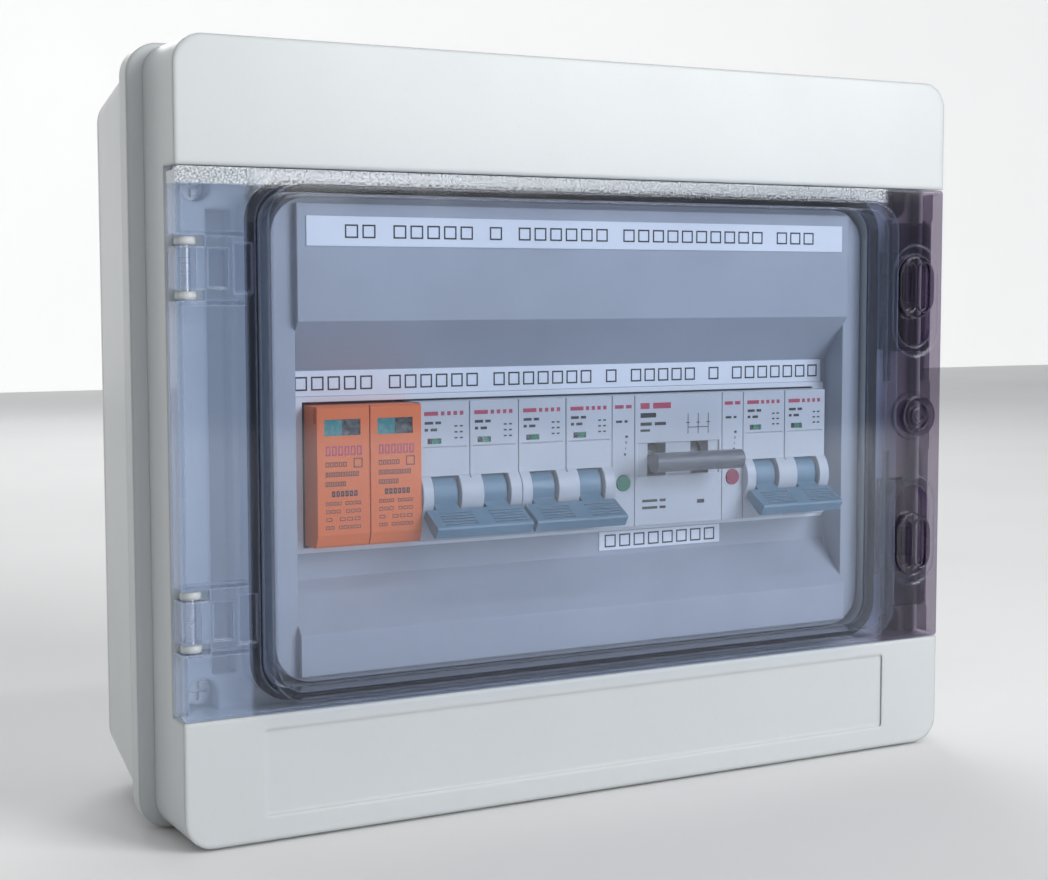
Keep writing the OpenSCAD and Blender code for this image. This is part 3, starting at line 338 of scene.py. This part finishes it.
def slot_materials():
    return {
        "enclosure": moulded("enclosure", (0.58, 0.615, 0.63), rough=0.3, tone=0.008, grain=0.12,
                             wear_and_highlight=0.04, edge=2.2, uneven=0.015),
        "seal": rubber("seal", (0.018, 0.018, 0.02)),
        "screw_metal": metal("screw_metal", (0.72, 0.71, 0.68)),
        "panel_grey": moulded("panel_grey", (0.4, 0.43, 0.48), rough=0.5, tone=0.03, grain=0.3, edge=0.6),
        "trim_white": moulded("trim_white", (0.84, 0.86, 0.88), rough=0.4, tone=0.02),
        "label_white": moulded("label_white", (0.86, 0.89, 0.93), rough=0.55, tone=0.02, grain=0.35,
                               pore=2600.0),
        "rail_steel": metal("rail_steel", (0.66, 0.67, 0.69), brush=(0.2, 20.0, 20.0)),
        "bar_brass": metal("bar_brass", (0.75, 0.55, 0.22), brush=(0.3, 15.0, 15.0), tarnish=0.4),
        "holder_blue": moulded("holder_blue", (0.03, 0.1, 0.42)),
        "holder_green": moulded("holder_green", (0.03, 0.25, 0.06)),
        "spd_dark": moulded("spd_dark", (0.07, 0.075, 0.085), rough=0.5),
        "spd_orange": moulded("spd_orange", (0.83, 0.175, 0.035), rough=0.45, grain=0.3, wear_and_highlight=0.3),
        "blade_metal": metal("blade_metal", (0.74, 0.7, 0.62)),
        "device_grey": moulded("device_grey", (0.55, 0.58, 0.61), tone=0.03, grain=0.25),
        "flag_green": breaker_flags("flag_green", 2.0 * MM),
        "toggle_blue_grey": moulded("toggle_blue_grey", (0.13, 0.245, 0.33), rough=0.4, tone=0.06,
                                    grain=0.3, wear_and_highlight=0.4),
        "lens_green": moulded("lens_green", (0.0, 0.22, 0.12), rough=0.22, grain=0.05),
        "lens_red": moulded("lens_red", (0.28, 0.02, 0.06), rough=0.22, grain=0.05),
        "handle_grey": moulded("handle_grey", (0.095, 0.108, 0.125), rough=0.38, tone=0.06, grain=0.25,
                               wear_and_highlight=0.4),
        "wire_brown": cable_sheath("wire_brown", (0.12, 0.04, 0.02)),
        "wire_blue": cable_sheath("wire_blue", (0.02, 0.07, 0.4)),
        "wire_green_yellow": cable_sheath("wire_green_yellow", (0.03, 0.3, 0.04), (0.8, 0.65, 0.03),
                                          middle("earth_wire").x),
        "smoked_door": smoked("smoked_door", (0.885, 0.915, 0.967), (0.58, 0.54, 0.6), (0.34, 0.42, 0.66),
                              strips=(GASKET_LOW[0], GASKET_HIGH[0] + 1.5 * MM),
                              frame_z=GASKET_HIGH[2] - 1.5 * MM),
        "smoked_latch": smoked("smoked_latch", (0.55, 0.5, 0.6), (0.32, 0.28, 0.36), (0.2, 0.19, 0.24)),
    }


def paint_nodes():
    slots = slot_materials()
    for part in frame["record"]["subparts"]:
        node = part["node"]
        if node.startswith("spd_window"):
            material = status_window(node, (0.01, 0.22, 0.22), (0.01, 0.012, 0.012))
        else:
            material = slots[part["material_slot"]]
        for slot in NODES[node].material_slots:
            slot.material = material


# ---- Printed marks


def add_box(mesh, x0, x1, y0, y1, z0, z1):
    corners = [mesh.verts.new((x, y, z)) for x in (x0, x1) for y in (y0, y1) for z in (z0, z1)]
    for a, b, c, d in ((0, 1, 3, 2), (4, 6, 7, 5), (0, 4, 5, 1), (2, 3, 7, 6), (0, 2, 6, 4), (1, 5, 7, 3)):
        mesh.faces.new((corners[a], corners[b], corners[c], corners[d]))


INK_T = 0.06 * MM                   # how far print stands proud of its surface
LETTER_GAP = 0.12                   # clear space on each side of a letter, of its step
WORD_GAP = 0.8                      # space between two words, of a letter's step


def printed(name, bars, y, body, material):
    """Flat bars of ink on a surface that faces the front: bars are (x0, x1, z0, z1)."""
    mesh = bmesh.new()
    for x0, x1, z0, z1 in bars:
        add_box(mesh, x0, x1, y - INK_T, y + INK_T, z0, z1)
    bmesh.ops.recalc_face_normals(mesh, faces=mesh.faces)
    data = bpy.data.meshes.new(name)
    mesh.to_mesh(data)
    mesh.free()
    piece = bpy.data.objects.new(name, data)
    bpy.context.scene.collection.objects.link(piece)
    data.materials.append(material)
    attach(piece, body)


def blank_letter(x0, x1, z0, z1, stroke):
    """An empty box of four strokes, in the place of a letter."""
    return [
        (x0, x0 + stroke, z0, z1),
        (x1 - stroke, x1, z0, z1),
        (x0 + stroke, x1 - stroke, z0, z0 + stroke),
        (x0 + stroke, x1 - stroke, z1 - stroke, z1),
    ]


def blank_line(x0, x1, z, height, words, stroke=0.0):
    """Words of blank letters from x0 to x1, or of solid dashes where there is no stroke."""
    step = (x1 - x0) / (sum(words) + WORD_GAP * (len(words) - 1))
    z0, z1 = z - height / 2, z + height / 2
    bars = []
    x = x0
    for letters in words:
        if stroke:
            for i in range(letters):
                left = x + i * step
                bars += blank_letter(left + LETTER_GAP * step, left + (1 - LETTER_GAP) * step, z0, z1, stroke)
        else:
            bars.append((x, x + letters * step, z0, z1))
        x += (letters + WORD_GAP) * step
    return bars


NOSE_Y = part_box("green_lamp_body")[0][1]      # the devices' front faces
ROW_Z = middle("green_lamp_body").z           # middle of the row of devices


def lines_at(left, lines):
    """Lines of print on a device, in mm from its left edge and the middle of the row.

    Each is (x0, x1, z, height, words), with a stroke last where its words are blank letters.
    """
    bars = []
    for x0, x1, z, height, words, *stroke in lines:
        bars += blank_line(left + x0 * MM, left + x1 * MM, ROW_Z + z * MM, height * MM, words,
                           *(width * MM for width in stroke))
    return bars


def bars_at(left, bars):
    """Bars (x0, x1, z0, z1), in mm from a device's left edge and the middle of the row."""
    return [(left + x0 * MM, left + x1 * MM, ROW_Z + z0 * MM, ROW_Z + z1 * MM) for x0, x1, z0, z1 in bars]


LABELS = (                          # node, words, letter height and inset from the label's ends in mm
    ("title_label", (2, 5, 1, 6, 10, 3), 4.2, 12.0),
    ("circuit_label", (5, 6, 7, 1, 5, 1, 7), 4.4, 1.0),
    ("switch_label", (8,), 4.4, 1.5),
)


def label_marks(ink):
    for node, words, height, inset in LABELS:
        low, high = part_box(node)
        z = (low[2] + high[2]) / 2
        bars = blank_line(low[0] + inset * MM, high[0] - inset * MM, z, height * MM, words, 0.5 * MM)
        printed(node + "_marks", bars, low[1], ROOT, ink)


POLE_RED = ((1.6, 15.6, 18.6, 1.3, (4, 1, 1, 1, 1)),)
POLE_DARK = (
    (1.8, 7.6, 15.6, 0.9, (3, 2)),
    (1.8, 6.2, 13.4, 0.9, (1, 2)),
    (12.4, 15.4, 10.6, 0.5, (1, 1)),
    (12.4, 15.4, 12.5, 0.5, (1, 1)),
    (12.4, 15.4, 14.4, 0.5, (1, 1)),
)


def breaker_marks(ink, red_ink):
    """Small print above the flag of each breaker pole."""
    for i in (1, 2, 3):
        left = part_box(f"mcb_{i}_body")[0][0]
        red, dark = [], []
        for pole in (0, 1):
            red += lines_at(left + pole * MODULE, POLE_RED)
            dark += lines_at(left + pole * MODULE, POLE_DARK)
        printed(f"mcb_{i}_red_marks", red, NOSE_Y, ROOT, red_ink)
        printed(f"mcb_{i}_marks", dark, NOSE_Y, ROOT, ink)


LAMP_RED = ((1.0, 7.6, 18.6, 1.2, (3, 2)),)
LAMP_DARK = ((1.4, 6.0, 13.6, 0.8, (2, 1)),)
LAMP_SIGN = ((4.6, 5.4, 2.0, 2.8), (5.1, 5.3, 4.0, 4.8), (5.6, 5.2, 6.0, 6.8), (6.1, 5.1, 8.0, 8.8))


def lamp_marks(ink, red_ink):
    for side in ("green", "red"):
        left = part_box(f"{side}_lamp_body")[0][0]
        dark = lines_at(left, LAMP_DARK) + bars_at(left, LAMP_SIGN)
        printed(f"{side}_lamp_red_marks", lines_at(left, LAMP_RED), NOSE_Y, ROOT, red_ink)
        printed(f"{side}_lamp_marks", dark, NOSE_Y, ROOT, ink)


CHANGEOVER_RED = ((2.2, 14.5, 18.6, 2.0, (2, 4)),)
CHANGEOVER_TOP = (
    (2.2, 8.5, 15.4, 1.6, (4,)),
    (2.2, 12.5, 12.4, 1.1, (3, 3)),
    (2.2, 6.0, 10.2, 0.8, (1,)),
)
CHANGEOVER_FOOT = (
    (3.0, 12.5, -14.0, 0.9, (5, 2)),
    (3.0, 12.5, -16.4, 0.9, (5, 2)),
    (25.5, 28.5, -15.2, 1.3, (2,)),
)
CIRCUIT_X = (21.5, 25.7, 29.9)      # upright lines of the little circuit diagram
CIRCUIT_LINE = 0.25


def changeover_marks(ink, red_ink):
    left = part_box("changeover_body")[0][0]
    circuit = []
    for x in CIRCUIT_X:
        circuit += [(x, x + CIRCUIT_LINE, 8.5, 15.5), (x - 0.6, x + 0.8, 12.2, 12.5)]
    circuit.append((CIRCUIT_X[0], 30.1, 10.6, 10.6 + CIRCUIT_LINE))
    dark = lines_at(left, CHANGEOVER_TOP) + bars_at(left, circuit) + lines_at(left, CHANGEOVER_FOOT)
    printed("changeover_red_marks", lines_at(left, CHANGEOVER_RED), NOSE_Y, ROOT, red_ink)
    printed("changeover_marks", dark, NOSE_Y, ROOT, ink)


CARTRIDGE_INSET = 2.6 * MM          # from a cartridge's left edge to its print
CARTRIDGE_RED = ((0, 12.6, 8.2, 3.0, (6,), 0.45),)
CARTRIDGE_SIGN = (9.6, 12.6, 2.8, 5.8)
CARTRIDGE_SIGN_LINE = 0.3 * MM
CARTRIDGE_NAME = ((0, 7.4, 4.0, 1.5, (5,), 0.25),)
CARTRIDGE_RATINGS = (
    (0, 11.4, 0.9, 1.5, (10,), 0.25),
    (0, 7.0, -2.1, 1.5, (6,), 0.25),
    (2.0, 11.0, -5.2, 1.8, (6,), 0.45),
    (0, 12.0, -8.2, 1.1, (4, 4), 0.2),
    (0, 12.0, -10.7, 1.1, (3, 3), 0.2),
    (0, 12.0, -13.2, 1.1, (1, 3), 0.2),
    (0, 12.0, -15.7, 1.1, (2, 5), 0.2),
)


def cartridge_marks(ink, red_ink):
    for i in (1, 2):
        node = f"spd_cartridge_{i}"
        low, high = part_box(node)
        left = low[0] + CARTRIDGE_INSET
        (sign,) = bars_at(left, (CARTRIDGE_SIGN,))
        dark = lines_at(left, CARTRIDGE_NAME) + blank_letter(*sign, CARTRIDGE_SIGN_LINE)
        dark += lines_at(left, CARTRIDGE_RATINGS)
        printed(node + "_red_marks", lines_at(left, CARTRIDGE_RED), low[1], node, red_ink)
        printed(node + "_marks", dark, low[1], node, ink)


def all_marks():
    ink = print_ink("ink_black", (0.015, 0.016, 0.02))
    red_ink = print_ink("ink_red", (0.45, 0.05, 0.1))
    label_marks(ink)
    breaker_marks(ink, red_ink)
    lamp_marks(ink, red_ink)
    changeover_marks(ink, red_ink)
    cartridge_marks(ink, red_ink)


# ---- Studio


STAGE_HALF = 6.0                    # metres; half the floor's width
STAGE_BACK = 2.6                    # where the backdrop stands
STAGE_TOP = 4.0
BACKDROP_GLOW = 0.55


def area_light(name, at, to, size, power, tall=None, colour=(1, 1, 1)):
    """A light of size metres and power watts that faces a point; a strip where tall is given."""
    data = bpy.data.lights.new(name, "AREA")
    data.energy = power
    data.color = colour
    data.size = size
    if tall:
        data.shape = "RECTANGLE"
        data.size_y = tall
    light = bpy.data.objects.new(name, data)
    light.location = at
    light.rotation_euler = (Vector(to) - Vector(at)).to_track_quat("-Z", "Y").to_euler()
    bpy.context.scene.collection.objects.link(light)


def studio():
    centre = (Vector(CAD_BOX[0]) + Vector(CAD_BOX[1])) / 2
    area_light("key", (0.8, -1.4, 0.6), centre, 0.9, 20.0)
    area_light("fill", (-1.5, -0.6, 0.5), centre, 1.2, 0.8, colour=(1.0, 0.75, 0.5))
    area_light("back", (0.4, 1.4, 1.1), centre, 1.2, 10.0)
    area_light("strip", (0.0, -0.45, 0.8), centre, 0.9, 1.2, tall=0.06)
    world = bpy.data.worlds.new("studio")
    world.use_nodes = True
    sky = world.node_tree.nodes["Background"]
    sky.inputs["Color"].default_value = (0.9, 0.92, 0.95, 1)
    sky.inputs["Strength"].default_value = 0.3
    bpy.context.scene.world = world
    bpy.context.scene.view_settings.view_transform = "Standard"


def sheet_of_stage(name, corners, glow):
    """Flat pale sheet of the studio, with a faint light of its own where it has a glow."""
    mesh = bmesh.new()
    mesh.faces.new([mesh.verts.new(corner) for corner in corners])
    data = bpy.data.meshes.new(name)
    mesh.to_mesh(data)
    mesh.free()
    tree = Tree(name)
    base = tree.blend(tree.remap(tree.noise(3.0), 0.3, 0.7), (0.8, 0.8, 0.8, 1), (0.84, 0.84, 0.84, 1))
    values = {"Base Color": base, "Roughness": 0.8, "Emission Color": (1, 1, 1, 1), "Emission Strength": glow}
    data.materials.append(tree.finish_principled(values))
    piece = bpy.data.objects.new(name, data)
    bpy.context.scene.collection.objects.link(piece)


def stage():
    """Floor just under the box, and a backdrop that stands on its far edge."""
    z = CAD_BOX[0][2] - 0.5 * MM
    left, right = -STAGE_HALF, STAGE_HALF
    floor = ((left, left, z), (right, left, z), (right, STAGE_BACK, z), (left, STAGE_BACK, z))
    wall = ((left, STAGE_BACK, z), (right, STAGE_BACK, z), (right, STAGE_BACK, STAGE_TOP),
            (left, STAGE_BACK, STAGE_TOP))
    sheet_of_stage("floor", floor, 0.0)
    sheet_of_stage("backdrop", wall, BACKDROP_GLOW)


make_camera()
paint_nodes()
all_marks()
studio()
stage()
